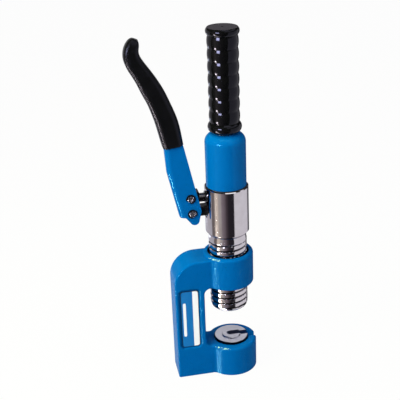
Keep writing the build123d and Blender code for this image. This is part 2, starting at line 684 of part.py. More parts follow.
def link_pin(place):
    """Headed pin through both flanges, with a groove for its clip at the front."""
    front = -LEVER_WIDTH / 2 - LINK_PIN_TAIL
    head = LEVER_WIDTH / 2
    pin = bar_y(LINK_PIN_RADIUS, front, head + CUT_OVER, *place)
    pin = chamfer(pin.edges().filter_by(GeomType.CIRCLE).sort_by(Axis.Y)[0], BREAK_EDGE / 2)
    pin += bar_y(LINK_PIN_HEAD_RADIUS, head, head + LINK_PIN_HEAD_LENGTH, *place)
    groove = bar_y(LINK_PIN_HEAD_RADIUS, *clip_span(SEAT_GAP), *place)
    return pin - (groove - bar_y(LINK_PIN_RADIUS - CLIP_GROOVE_DEPTH, front, head, *place))


def retaining_clips():
    """Open clips, one in the groove of each pin."""
    low, high = clip_span()
    clips = []
    for place, turn in zip(link_pins(), (PIVOT_CLIP_TURN, PLUNGER_CLIP_TURN)):
        clip = bar_y(CLIP_RADIUS, low, high, *place)
        clip -= bar_y(LINK_PIN_RADIUS - CLIP_GROOVE_DEPTH, low - CUT_OVER, high + CUT_OVER, *place)
        mouth = Pos(place[0], 0, place[1]) * Rot(0, -turn, 0) * Box(
            2 * CLIP_RADIUS, 2 * LEVER_WIDTH, CLIP_MOUTH, align=(Align.MIN, Align.CENTER, Align.CENTER)
        )
        clips.append(clip - mouth)
    return Compound(children=clips)


def ball_centre(seat_z):
    """Level of a ball that hangs just clear of its seat."""
    return seat_z - SEAT_GAP - sqrt(BALL_RADIUS * BALL_RADIUS - VALVE_PASSAGE_RADIUS * VALVE_PASSAGE_RADIUS)


def valve_ball(seat_z):
    """Ball under its seat."""
    return Pos(-VALVE_X, 0, ball_centre(seat_z)) * Sphere(BALL_RADIUS)


def valve_spring(floor_z, seat_z):
    """Coil between a valve pocket's floor and its ball."""
    top = ball_centre(seat_z) - BALL_RADIUS
    return coil(VALVE_SPRING_RADIUS, VALVE_SPRING_WIRE, floor_z + SEAT_GAP, top, VALVE_SPRING_TURNS, -VALVE_X)


def tank_seal():
    """Black rubber ring under the tank's edge."""
    return ring(TANK_SEAL_RADIUS, TANK_SPIGOT_RADIUS, BODY_TOP_Z, BODY_TOP_Z + TANK_SEAL_THICKNESS)


def reservoir_tube():
    """Painted tank with a rounded shoulder; it turns on the body's spigot to work the release."""
    shell = post(TANK_RADIUS, TANK_BOTTOM_Z, TANK_TOP_Z)
    shell = fillet(shell.edges().sort_by(Axis.Z)[-1], TANK_SHOULDER)
    roof = TANK_TOP_Z - TANK_SHOULDER
    cavity = post(TANK_SPIGOT_RADIUS + RUNNING_FIT, TANK_BOTTOM_Z - CUT_OVER, roof)
    neck = post(CORE_RADIUS - CORE_WALL, roof - CUT_OVER, TANK_TOP_Z + CUT_OVER)
    core_seat = post(CORE_RADIUS, CORE_BOTTOM_Z, TANK_TOP_Z + CUT_OVER)
    return shell - cavity - neck - core_seat


def oil_bladder():
    """Soft rubber sleeve in the tank, standing on the spigot."""
    bottom = TANK_SPIGOT_TOP_Z + SEAT_GAP
    top = bottom + BLADDER_LENGTH
    sleeve = post(BLADDER_RADIUS, bottom, top)
    sleeve = fillet(sleeve.edges().filter_by(GeomType.CIRCLE), BLADDER_ROUND)
    return sleeve - post(BLADDER_BORE, bottom - CUT_OVER, top + CUT_OVER)


def release_needle():
    """Needle that the handle turns onto the release seat, with a flange under the core."""
    shaft_bottom = NEEDLE_SEAT_Z + NEEDLE_TIP
    needle = post(NEEDLE_RADIUS, shaft_bottom, CORE_BOTTOM_Z)
    tip = Pos(0, 0, NEEDLE_SEAT_Z + SEAT_GAP) * Cone(
        OIL_PORT_RADIUS, NEEDLE_RADIUS, NEEDLE_TIP - SEAT_GAP, align=(Align.CENTER, Align.CENTER, Align.MIN)
    )
    flange = post(CORE_RADIUS - CORE_WALL, CORE_BOTTOM_Z - CORE_WALL, CORE_BOTTOM_Z)
    return needle + tip + flange


def handle_core():
    """Steel tube under the grip, standing in the tank's top."""
    return ring(CORE_RADIUS, CORE_RADIUS - CORE_WALL, CORE_BOTTOM_Z, CORE_TOP_Z)


def handle_grip():
    """Moulded grip: two bead flanges with rounded ribs between them and a small vent on top."""
    low = GRIP_BOTTOM_Z + BOTTOM_FLANGE_HEIGHT
    high = GRIP_TOP_Z - TOP_FLANGE_HEIGHT
    pitch = (high - low) / GRIP_RIBS
    edge = Polyline((0, GRIP_BOTTOM_Z), (GRIP_VALLEY_RADIUS, GRIP_BOTTOM_Z))
    edge += ThreePointArc(
        (GRIP_VALLEY_RADIUS, GRIP_BOTTOM_Z),
        (BOTTOM_FLANGE_RADIUS, (GRIP_BOTTOM_Z + low) / 2),
        (GRIP_VALLEY_RADIUS, low),
    )
    for rib in range(GRIP_RIBS):
        start = low + rib * pitch
        edge += ThreePointArc(
            (GRIP_VALLEY_RADIUS, start),
            (GRIP_RIB_RADIUS, start + pitch / 2),
            (GRIP_VALLEY_RADIUS, start + pitch),
        )
    edge += ThreePointArc(
        (GRIP_VALLEY_RADIUS, high),
        (TOP_FLANGE_RADIUS, (high + GRIP_TOP_Z) / 2),
        (GRIP_FACE_RADIUS, GRIP_TOP_Z),
    )
    edge += Polyline((GRIP_FACE_RADIUS, GRIP_TOP_Z), (0, GRIP_TOP_Z), (0, GRIP_BOTTOM_Z))
    socket = post(CORE_RADIUS, GRIP_BOTTOM_Z - CUT_OVER, CORE_TOP_Z + SEAT_GAP)
    vent = post(GRIP_VENT_RADIUS, CORE_TOP_Z - CUT_OVER, GRIP_TOP_Z + CUT_OVER)
    return spun(edge) - socket - vent


def build():
    """Every node's solid by name."""
    pivot_place, plunger_place = link_pins()
    return {
        "c_frame": c_frame(),
        "name_plate": name_plate(),
        "anvil_die": anvil_die(),
        "cylinder_barrel": cylinder_barrel(),
        "barrel_washer": barrel_washer(),
        "end_gland": end_gland(),
        "rod_wiper": wiper_ring(),
        "ram_piston": ram_piston(),
        "piston_seal": seal_ring(),
        "return_spring": return_spring(),
        "punch_pin": punch_pin(),
        "pump_body": pump_body(),
        "pivot_lug": pivot_lug(),
        "pump_plunger": pump_plunger(),
        "plunger_gland": plunger_gland(),
        "plunger_seal": plunger_seal(),
        "lever_channel": lever_channel(),
        "lever_grip": lever_grip(),
        "pivot_pin": link_pin(pivot_place),
        "plunger_pin": link_pin(plunger_place),
        "retaining_clips": retaining_clips(),
        "delivery_ball": valve_ball(DELIVERY_SEAT_Z),
        "delivery_spring": valve_spring(BODY_FLOOR_Z, DELIVERY_SEAT_Z),
        "suction_ball": valve_ball(SUCTION_SEAT_Z),
        "suction_spring": valve_spring(SUCTION_FLOOR_Z, SUCTION_SEAT_Z),
        "tank_seal": tank_seal(),
        "reservoir_tube": reservoir_tube(),
        "oil_bladder": oil_bladder(),
        "release_needle": release_needle(),
        "handle_core": handle_core(),
        "handle_grip": handle_grip(),
    }


os.makedirs("parts", exist_ok=True)
for node, solid in build().items():
    export_step(solid, f"parts/{node}.step")
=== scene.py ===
"""Hydraulic chain breaker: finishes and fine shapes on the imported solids, with its studio stage."""

import json
from math import cos, pi, radians, sin

import bmesh
import bpy
import numpy as np
from bpy.props import FloatProperty, FloatVectorProperty, IntProperty, PointerProperty, StringProperty
from mathutils import Euler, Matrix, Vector


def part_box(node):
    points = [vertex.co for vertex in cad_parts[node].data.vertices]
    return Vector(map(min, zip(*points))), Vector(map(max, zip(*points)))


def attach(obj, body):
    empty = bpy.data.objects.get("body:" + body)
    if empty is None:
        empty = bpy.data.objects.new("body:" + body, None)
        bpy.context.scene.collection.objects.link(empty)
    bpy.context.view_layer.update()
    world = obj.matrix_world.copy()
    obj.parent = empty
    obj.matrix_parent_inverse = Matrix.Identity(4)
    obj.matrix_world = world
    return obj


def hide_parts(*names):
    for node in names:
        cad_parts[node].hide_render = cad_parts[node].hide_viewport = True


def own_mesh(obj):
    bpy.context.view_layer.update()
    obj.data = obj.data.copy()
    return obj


bl_info = {
    "name": "Hydraulic Chain Breaker",
    "version": (1, 0, 0),
    "blender": (4, 5, 0),
    "location": "View3D > Sidebar > Chain Breaker",
    "description": "Finishes, thread, link pins and studio for the hydraulic chain breaker",
    "category": "Object",
}

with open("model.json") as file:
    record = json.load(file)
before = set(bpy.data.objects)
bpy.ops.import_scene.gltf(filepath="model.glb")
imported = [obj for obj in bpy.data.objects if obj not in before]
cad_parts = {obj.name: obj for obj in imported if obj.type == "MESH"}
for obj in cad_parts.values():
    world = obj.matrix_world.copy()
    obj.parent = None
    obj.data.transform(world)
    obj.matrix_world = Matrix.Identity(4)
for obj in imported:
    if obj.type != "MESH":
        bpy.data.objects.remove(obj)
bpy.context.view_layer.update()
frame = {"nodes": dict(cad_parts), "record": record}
MM = 0.001

# Meshes: points nearer than WELD metres become one, and edges that turn by more than SHARP stay sharp
WELD = 1e-7
SHARP = radians(40)
# Rows and columns of quads on the turned and coiled pieces
NOSE_ROWS = 15
DIMPLE_ROWS = 9
PIN_AROUND = 64
COIL_ROWS = 241
WIRE_AROUND = 12
# Rows up the screw, mm: the first over the rounded end, the step, and how far they may pass the thread's end
FIRST_ROW = 0.2
ROW_STEP = 0.24
ROW_OVER = 0.05

# Widths of the clouds, specks and flakes in the finishes, mm
FILM_CLOUD = 22.222
DUST_SPECK = 1.4286
CAST_SKIN = 1.923
PAINT_FLAKE = 2.381
POLISH_CLOUD = 9.091
TURNING_WAVER = 6.25
HAND_SMEAR = 16.667
PRINT_FADE = 11.111
RUBBER_BLOOM = 3.3333
OIL_FILM = 3.8462
# Length of a tool line on bright metal, depth of the die's turning rings and of the rubber's bloom, mm
LINE_RUN = 125.0
RING_DEPTH = 0.02
BLOOM_DEPTH = 0.01
# How far a turning ring wavers, as a share of its width
RING_DRIFT = 0.35
# Tint and strength of what the enamel mirrors
ENAMEL_MIRROR = "#6ae2ff"
MIRROR_SHARE = 0.025

# Pale flecks on the casting, mm, worn paint and partly a painted highlight of the key light: the chipped rims
# lie a little under the tops of the collar and the die boss
COLLAR_RIM = 28.2
BOSS_RIM = 28.8
BOSS_CENTRE = 1.8
BOSS_TOP = 37.3
RIM_DROP = 0.9
COLLAR_CHIP_GLINT_SIDE = radians(-130)
BOSS_CHIP_GLINT_SIDE = radians(-126)
CHIP_GLINT_ARC = radians(20)
CHIP_GLINT_BAND = 0.8
# Where the noise of flakes is higher than this, the paint is off and the pale colour shows, partly a painted
# highlight
FLAKED_AND_GLINT = 0.56
# Painted shade, near black like oily dirt, in the gaps round the barrel and the die, mm: radius round the
# barrel, width and level round the die, reach up and down
BARREL_GAP_SHADE = 24.2
DIE_GAP_SHADE = 0.4
DIE_GAP_SHADE_LEVEL = 39.0
GAP_SHADE_REACH = 5.0
# Painted shade in the thread's grooves and the seam under the pump body, black like oil, mm: radius where it
# starts, depth where it is black, and its start over the barrel's end
GROOVE_SHADE_RADIUS = 21.5
GROOVE_SHADE_DEPTH = 0.7
GROOVE_SHADE_START = 3.0
# Width of the painted shade round the faced die's edge, mm
DIE_EDGE_SHADE = 0.5

# Name plate, mm: corner of its outline, width of the painted shade along the border, and the lip of paint
# that rises outside the outline
CORNER = 3.4
BORDER_SHADE = 0.7
LIP_START = 0.8
LIP_END = 3.0
LIP_RISE = 1.9
# Its print: places of the band and the pill as shares of the width, and the pill's ends and half width in mm
BAND_PLACE = 0.66
PILL_PLACE = 0.2
PILL_FOOT = 16.5
PILL_HEAD = 17.0
PILL_HALF = 1.7

# Bright metals: slot, two colours, least and most roughness, width and depth of the tool lines in mm, and the
# axis that the lines lie across
BRIGHT_METALS = (
    ("plunger_steel", ("#6f6c6e", "#565356"), (0.14, 0.28), 0.2, 0.001, (1, 0, 0)),
    ("pin_steel", ("#94929a", "#7f7d85"), (0.4, 0.5), 0.2, 0.001, (0, 1, 0)),
    ("core_steel", ("#8c8c90", "#77777b"), (0.25, 0.4), 0.4, 0.002, (0, 0, 1)),
    ("spring_steel", ("#5a5a5f", "#46464a"), (0.25, 0.4), 0.3, 0.001, (0, 0, 1)),
    ("copper_washer", ("#b87850", "#9a5d3c"), (0.28, 0.45), 0.3, 0.001, (0, 0, 1)),
)

# What gloss sees of the studio: compass direction of the camera in degrees, and cloths and panels as turns
# from there, low ones round the table and high ones over it
TOWARD_CAMERA = -101.7
LOW_FLAGS = (
    (-180, "#c4c2c8"),
    (-90, "#b8b6bc"),
    (-84, "#6d6461"),
    (-69, "#7a716e"),
    (-63, "#dccfc0"),
    (-50, "#dccfc0"),
    (-44, "#b4aca6"),
    (-32, "#a8a29e"),
    (-27, "#8a7f84"),
    (-11, "#6a6066"),
    (-3, "#4a4146"),
    (9, "#2a262b"),
    (37, "#242228"),
    (40, "#dcdade"),
    (130, "#d8d6dc"),
    (142, "#3c3a42"),
    (160, "#55535a"),
    (170, "#a8a6ac"),
)
HIGH_PANELS = (
    (-180, "#f2f1f6"),
    (-145, "#f2f1f6"),
    (-125, "#1c1b20"),
    (-84, "#1c1b20"),
    (-78, "#8a8a92"),
    (-12, "#8a8a92"),
    (-6, "#1c1b20"),
    (14, "#1c1b20"),
    (20, "#f6f5fa"),
    (108, "#e8e7ee"),
    (116, "#1c1b20"),
    (140, "#1c1b20"),
    (158, "#f2f1f6"),
)
# Elevations in degrees: where the low cloths are gone and where full, and the panels' middle and half height
LOW_GONE = 15
LOW_FULL = 9
HIGH_MIDDLE = 35
HIGH_HALF = 8
# Bright patches that gloss sees besides: turn from the camera, half width, lowest and highest elevation in
# degrees, colour and strength. They are the softbox, the lit table in three bands left of the camera and
# in two behind it, and the ceiling.
SHINES = (
    (-34, 11, 5, 17, "#e8ecff", 36.0),
    (-62, 6, -80, -36.5, "#fff4e6", 14.0),
    (-63, 6, -36.5, -33.2, "#fff4e6", 110.0),
    (-62, 6, -32.5, -27.5, "#fff4e6", 5.0),
    (-160, 8, -80, -26, "#90c0ff", 0.5),
    (-141, 13, -24, -20.5, "#d8e4ff", 2.4),
    (30, 40, 52, 80, "#ffffff", 1.2),
)
# Half the soft edge of a patch, in degrees, at its sides and at its ends
SIDE_EDGE = 2
END_EDGE = 1
ROOM_SHADE = "#1c1b20"

# Softboxes: the name of its power, place, width and height in metres, and colour
SOFTBOXES = (
    ("key", (-0.78, -0.73, 0.75), 0.45, 0.16, "#ffffff"),
    ("left", (-0.93, -0.38, 0.75), 0.35, 0.35, "#f8ffc0"),
    ("top", (-0.35, -0.1, 1.25), 0.7, 0.7, "#f8ffb8"),
    ("right", (0.95, -0.45, 0.55), 0.5, 0.5, "#e0ffd8"),
)
# Paper sweep: half its width and its level in mm, and the share of plain white that the camera sees on it
PAPER_REACH = 4000
PAPER_LEVEL = -0.3
PAPER_WHITE = 0.97
# Camera: sensor width in mm, and how far it sees in metres
SENSOR = 36
FAR = 20


# Colour, nodes and meshes


def linear(code):
    """An sRGB hex colour as linear RGBA."""
    srgb = np.array([int(code[i : i + 2], 16) for i in (1, 3, 5)]) / 255
    light = np.where(srgb <= 0.04045, srgb / 12.92, ((srgb + 0.055) / 1.055) ** 2.4)
    return (*map(float, light), 1.0)


def add(tree, kind, sockets=None, **settings):
    """Adds a node; a socket's entry is a value, or another node's output to link."""
    node = tree.nodes.new(kind)
    for name, value in settings.items():
        setattr(node, name, value)
    for key, value in (sockets or {}).items():
        if isinstance(value, bpy.types.NodeSocket):
            tree.links.new(value, node.inputs[key])
        else:
            node.inputs[key].default_value = value
    return node


def new_material(name):
    """The named material, emptied: its nodes, and the Object coordinates that its patterns read."""
    material = bpy.data.materials.get(name) or bpy.data.materials.new(name)
    material.use_nodes = True
    tree = material.node_tree
    tree.nodes.clear()
    return tree, add(tree, "ShaderNodeTexCoord").outputs["Object"]


def mottled(tree, place, width, detail, colours):
    """Clouds of a width in millimetres: how far a point lies in one, and the colour there between the two."""
    cloud = add(tree, "ShaderNodeTexNoise", {"Vector": place, "Scale": 1000 / width, "Detail": detail})
    share = cloud.outputs["Fac"]
    first, second = map(linear, colours)
    tint = add(tree, "ShaderNodeMix", {0: share, 6: first, 7: second}, data_type="RGBA")
    return share, tint.outputs[2]


def off_axis(tree, place, centre_x=0.0):
    """The level vector to a point from the upright axis at centre_x in millimetres, and its length."""
    local = add(tree, "ShaderNodeVectorMath", {0: place, 1: (centre_x * MM, 0, 0)}, operation="SUBTRACT")
    flat = add(tree, "ShaderNodeVectorMath", {0: local.outputs[0], 1: (1, 1, 0)}, operation="MULTIPLY")
    away = add(tree, "ShaderNodeVectorMath", {0: flat.outputs[0]}, operation="LENGTH")
    return flat.outputs[0], away.outputs["Value"]


def rounded_reach(tree, place, node):
    """How far a point lies, in X and Z, outside the node's box drawn in by its corner radius; that radius is
    reached on the outline with rounded corners."""
    low, high = (np.array(corner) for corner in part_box(node))
    steps = (
        ("SUBTRACT", tuple((low + high) / 2)),
        ("ABSOLUTE", None),
        ("SUBTRACT", tuple((high - low) / 2 - CORNER * MM)),
        ("MAXIMUM", (0, 0, 0)),
        ("MULTIPLY", (1, 0, 1)),
    )
    over = place
    for operation, value in steps:
        sockets = {0: over} if value is None else {0: over, 1: value}
        over = add(tree, "ShaderNodeVectorMath", sockets, operation=operation).outputs[0]
    return add(tree, "ShaderNodeVectorMath", {0: over}, operation="LENGTH").outputs["Value"]


def die_circle():
    """Centre x and radius of the die's round edge in millimetres; its box touches that edge at low X and at
    both Y sides."""
    low, high = (np.array(corner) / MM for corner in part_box("anvil_die"))
    radius = (high[1] - low[1]) / 2
    return low[0] + radius, radius


def surface(name, points, close_along=True, close_around=True):
    """Mesh on a grid of points (along, around, xyz) in millimetres: a quad between each four neighbours."""
    rows, columns = points.shape[:2]
    index = np.arange(rows * columns).reshape(rows, columns)
    if close_along:
        index = np.vstack((index, index[:1]))
    if close_around:
        index = np.hstack((index, index[:, :1]))
    corners = (index[:-1, :-1], index[:-1, 1:], index[1:, 1:], index[1:, :-1])
    quads = np.stack(corners, axis=-1).reshape(-1, 4).astype(np.int32)
    mesh = bpy.data.meshes.new(name)
    mesh.vertices.add(rows * columns)
    mesh.vertices.foreach_set("co", (points * MM).astype(np.float32).ravel())
    mesh.loops.add(quads.size)
    mesh.loops.foreach_set("vertex_index", quads.ravel())
    mesh.polygons.add(len(quads))
    mesh.polygons.foreach_set("loop_start", np.arange(0, quads.size, 4, dtype=np.int32))
    mesh.update(calc_edges=True)
    shape = bmesh.new()
    shape.from_mesh(mesh)
    bmesh.ops.remove_doubles(shape, verts=shape.verts, dist=WELD)
    bmesh.ops.recalc_face_normals(shape, faces=shape.faces)
    shape.to_mesh(mesh)
    shape.free()
    mesh.shade_smooth()
    mesh.set_sharp_from_angle(angle=SHARP)
    piece = bpy.data.objects.new(name, mesh)
    bpy.context.scene.collection.objects.link(piece)
    return piece


def fit(piece, body, slot, *nodes):
    """Rides a piece on its body, gives it its slot's finish and lets it stand for CAD nodes."""
    piece.data.materials.append(bpy.data.materials[slot])
    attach(piece, body)
    if nodes:
        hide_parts(*nodes)


def smooth(low, high, value):
    """Smooth step from 0 at low to 1 at high."""
    share = np.clip((value - low) / (high - low), 0, 1)
    return share * share * (3 - 2 * share)


def turned(profile, around, swell=None):
    """Surface of revolution about the ram axis: each profile row (radius, z) is carried round a circle;
    swell adds to the radius at each row and angle."""
    radius, height = np.asarray(profile, float).T
    angle = np.linspace(0, 2 * pi, around, endpoint=False)
    reach = np.repeat(radius[:, None], around, axis=1)
    if swell is not None:
        reach = reach + swell
    level = np.repeat(height[:, None], around, axis=1)
    return np.stack((reach * np.cos(angle), reach * np.sin(angle), level), axis=-1)


# Finishes


def chip_and_glint(tree, place, paint, centre_x, radius, level, side):
    """Pale spots where an arc of a band round a rim meets the flakes of a noise: worn paint, and a painted
    highlight of the key light on that arc.
    """
    flat, away = off_axis(tree, place, centre_x)
    axes = add(tree, "ShaderNodeSeparateXYZ", {0: place})
    band = CHIP_GLINT_BAND * MM
    on_rim = add(tree, "ShaderNodeMath", {0: away, 1: radius * MM, 2: band}, operation="COMPARE")
    on_level = add(
        tree, "ShaderNodeMath", {0: axes.outputs["Z"], 1: level * MM, 2: band}, operation="COMPARE"
    )
    toward = add(
        tree, "ShaderNodeVectorMath", {0: flat, 1: (cos(side), sin(side), 0)}, operation="DOT_PRODUCT"
    )
    on_arc = add(
        tree,
        "ShaderNodeMath",
        {0: toward.outputs["Value"], 1: radius * MM * cos(CHIP_GLINT_ARC)},
        operation="GREATER_THAN",
    )
    flake = add(tree, "ShaderNodeTexNoise", {"Vector": place, "Scale": 1000 / PAINT_FLAKE, "Detail": 3.0})
    bare = add(tree, "ShaderNodeMath", {0: flake.outputs["Fac"], 1: FLAKED_AND_GLINT}, operation="GREATER_THAN")
    mask = on_rim.outputs[0]
    for part in (on_level, on_arc, bare):
        mask = add(tree, "ShaderNodeMath", {0: mask, 1: part.outputs[0]}, operation="MULTIPLY").outputs[0]
    # Pale colour: worn paint, and partly a painted highlight where the key light glints on the rim.
    return add(
        tree, "ShaderNodeMix", {0: mask, 6: paint, 7: linear("#9cc8bc")}, data_type="RGBA"
    ).outputs[2]


def blue_enamel(name, colours, peel_mm, peel_depth, sparkle, chips_and_glints=(), shaded_mouths=(), lip=None):
    """Sprayed gloss enamel on steel. The eye gets a saturated blue under a clear gloss that the skin below
    breaks into sparkles (least and most gloss), a faint ripple of sprayed paint, dust specks, pale flecks
    along rims, worn paint and partly a painted highlight (centre x, radius, z and side), near-black painted
    shade in the gaps round the barrel's and die's openings (centre x, radius, z), and a sloping lip of paint
    round the named node."""
    tree, place = new_material(name)
    paint = mottled(tree, place, FILM_CLOUD, 3.0, colours)[1]
    # Dark dust specks, thinly strewn where a noise is near its highest; about half a millimetre wide, which
    # is coarser than real dust, so that they show.
    grit = add(tree, "ShaderNodeTexNoise", {"Vector": place, "Scale": 1000 / DUST_SPECK, "Detail": 1.0})
    speck = add(
        tree, "ShaderNodeMapRange", {"Value": grit.outputs["Fac"], "From Min": 0.72, "From Max": 0.76}
    )
    paint = add(
        tree,
        "ShaderNodeMix",
        {0: speck.outputs["Result"], 6: paint, 7: linear("#00477c")},
        data_type="RGBA",
    ).outputs[2]
    ripple = add(tree, "ShaderNodeTexNoise", {"Vector": place, "Scale": 1000 / peel_mm, "Detail": 2.0})
    height = add(
        tree, "ShaderNodeMath", {0: ripple.outputs["Fac"], 1: peel_depth * MM}, operation="MULTIPLY"
    ).outputs[0]
    axes = add(tree, "ShaderNodeSeparateXYZ", {0: place})
    if lip:
        # The skin rises between two lines outside the node's outline, on the plate's side only.
        slope = add(
            tree,
            "ShaderNodeMapRange",
            {
                "Value": rounded_reach(tree, place, lip),
                "From Min": (CORNER + LIP_START) * MM,
                "From Max": (CORNER + LIP_END) * MM,
                "To Max": LIP_RISE * MM,
            },
        )
        side = add(tree, "ShaderNodeMath", {0: axes.outputs["Y"], 1: 0.0}, operation="LESS_THAN")
        height = add(
            tree,
            "ShaderNodeMath",
            {0: slope.outputs["Result"], 1: side.outputs[0], 2: height},
            operation="MULTIPLY_ADD",
        ).outputs[0]
    relief = add(tree, "ShaderNodeBump", {"Height": height, "Strength": 1.0, "Distance": 1.0})
    for rim in chips_and_glints:
        paint = chip_and_glint(tree, place, paint, *rim)
    # Painted shade: the gap round the barrel at the collar's top and round the die is painted near black.
    for centre_x, radius, level in shaded_mouths:
        away = off_axis(tree, place, centre_x)[1]
        near = add(tree, "ShaderNodeMath", {0: away, 1: radius * MM}, operation="LESS_THAN")
        high = add(
            tree,
            "ShaderNodeMath",
            {0: axes.outputs["Z"], 1: level * MM, 2: GAP_SHADE_REACH * MM},
            operation="COMPARE",
        )
        gap_shade = add(tree, "ShaderNodeMath", {0: near.outputs[0], 1: high.outputs[0]}, operation="MULTIPLY")
        paint = add(
            tree, "ShaderNodeMix", {0: gap_shade.outputs[0], 6: paint, 7: linear("#07080c")}, data_type="RGBA"
        ).outputs[2]
    body = add(
        tree,
        "ShaderNodeBsdfPrincipled",
        {"Base Color": paint, "Roughness": 0.15, "IOR": 1.045, "Normal": relief.outputs["Normal"]},
    )
    # Reflections keep the pigment's tint, so only a strong light shows white. The cast skin that breaks them
    # up is drawn coarser than a real one, so that it shows.
    skin = add(tree, "ShaderNodeTexNoise", {"Vector": place, "Scale": 1000 / CAST_SKIN, "Detail": 2.0})
    least, most = sparkle
    share = add(
        tree,
        "ShaderNodeMapRange",
        {"Value": skin.outputs["Fac"], "From Min": 0.5, "From Max": 0.68, "To Min": least, "To Max": most},
    )
    mirror = tuple(MIRROR_SHARE * part for part in linear(ENAMEL_MIRROR)[:3])
    tint = add(
        tree, "ShaderNodeVectorMath", {0: mirror, 1: share.outputs["Result"]}, operation="MULTIPLY"
    )
    gloss = add(
        tree,
        "ShaderNodeBsdfGlossy",
        {"Color": tint.outputs[0], "Roughness": 0.15, "Normal": relief.outputs["Normal"]},
    )
    shader = add(tree, "ShaderNodeAddShader", {0: body.outputs["BSDF"], 1: gloss.outputs["BSDF"]})
    add(tree, "ShaderNodeOutputMaterial", {"Surface": shader.outputs[0]})


def bright_metal(name, colours, roughness, lines_mm, line_depth, axis, groove_shade=None):
    """Machined metal. The eye gets a mirror broken by fine tool lines across the axis, cloudy patches where
    handling has dulled the polish, and painted shade, black like oil, in grooves about the ram axis (radius,
    depth, lowest z)."""
    tree, place = new_material(name)
    spread = tuple(1000 / (lines_mm if along else LINE_RUN) for along in axis)
    stretch = add(tree, "ShaderNodeMapping", {"Vector": place, "Scale": spread})
    lines = add(
        tree, "ShaderNodeTexNoise", {"Vector": stretch.outputs["Vector"], "Scale": 1.0, "Detail": 2.0}
    )
    relief = add(
        tree,
        "ShaderNodeBump",
        {"Height": lines.outputs["Fac"], "Strength": 1.0, "Distance": line_depth * MM},
    )
    cloud, skin = mottled(tree, place, POLISH_CLOUD, 4.0, colours)
    polished, handled = roughness
    dull = add(
        tree,
        "ShaderNodeMapRange",
        {"Value": cloud, "From Min": 0.35, "From Max": 0.7, "To Min": polished, "To Max": handled},
    )
    # Painted shade: within a radius of the ram axis, in the thread's grooves and the seam under the pump
    # body, the metal is painted near black.
    if groove_shade:
        radius, depth, lowest = groove_shade
        away = off_axis(tree, place)[1]
        axes = add(tree, "ShaderNodeSeparateXYZ", {0: place})
        sunk = add(
            tree,
            "ShaderNodeMapRange",
            {"Value": away, "From Min": radius * MM, "From Max": (radius - depth) * MM, "To Max": 0.9},
        )
        high = add(
            tree, "ShaderNodeMath", {0: axes.outputs["Z"], 1: lowest * MM}, operation="GREATER_THAN"
        )
        oil = add(
            tree, "ShaderNodeMath", {0: sunk.outputs["Result"], 1: high.outputs[0]}, operation="MULTIPLY"
        )
        skin = add(
            tree, "ShaderNodeMix", {0: oil.outputs[0], 6: skin, 7: linear("#16161a")}, data_type="RGBA"
        ).outputs[2]
    shader = add(
        tree,
        "ShaderNodeBsdfPrincipled",
        {
            "Base Color": skin,
            "Metallic": 1.0,
            "Roughness": dull.outputs["Result"],
            "Normal": relief.outputs["Normal"],
        },
    )
    add(tree, "ShaderNodeOutputMaterial", {"Surface": shader.outputs["BSDF"]})


def faced_steel(name, colours, ring_mm):
    """Steel faced on a lathe. The eye gets concentric turning rings about the die's centre that catch the
    light, over a grey satin metal, with painted shade near black round its edge."""
    tree, place = new_material(name)
    centre_x, radius = die_circle()
    away = off_axis(tree, place, centre_x)[1]
    waver, tint = mottled(tree, place, TURNING_WAVER, 3.0, colours)
    # The rings are a sine of the distance from the centre, with some waver. They are drawn coarser than a
    # lathe's feed, so that they show.
    drift = add(
        tree,
        "ShaderNodeMath",
        {0: waver, 1: RING_DRIFT * ring_mm * MM, 2: away},
        operation="MULTIPLY_ADD",
    )
    wave = add(
        tree, "ShaderNodeMath", {0: drift.outputs[0], 1: 2 * pi / (ring_mm * MM)}, operation="MULTIPLY"
    )
    rings = add(tree, "ShaderNodeMath", {0: wave.outputs[0]}, operation="SINE")
    relief = add(
        tree,
        "ShaderNodeBump",
        {"Height": rings.outputs[0], "Strength": 0.6, "Distance": RING_DEPTH * MM},
    )
    # Painted shade: the die's rim is painted near black, where the gap round it falls dark.
    edge = add(
        tree, "ShaderNodeMath", {0: away, 1: (radius - DIE_EDGE_SHADE) * MM}, operation="GREATER_THAN"
    )
    skin = add(
        tree, "ShaderNodeMix", {0: edge.outputs[0], 6: tint, 7: linear("#16181f")}, data_type="RGBA"
    )
    shader = add(
        tree,
        "ShaderNodeBsdfPrincipled",
        {
            "Base Color": skin.outputs[2],
            "Metallic": 1.0,
            "Roughness": 0.28,
            "Normal": relief.outputs["Normal"],
        },
    )
    add(tree, "ShaderNodeOutputMaterial", {"Surface": shader.outputs["BSDF"]})


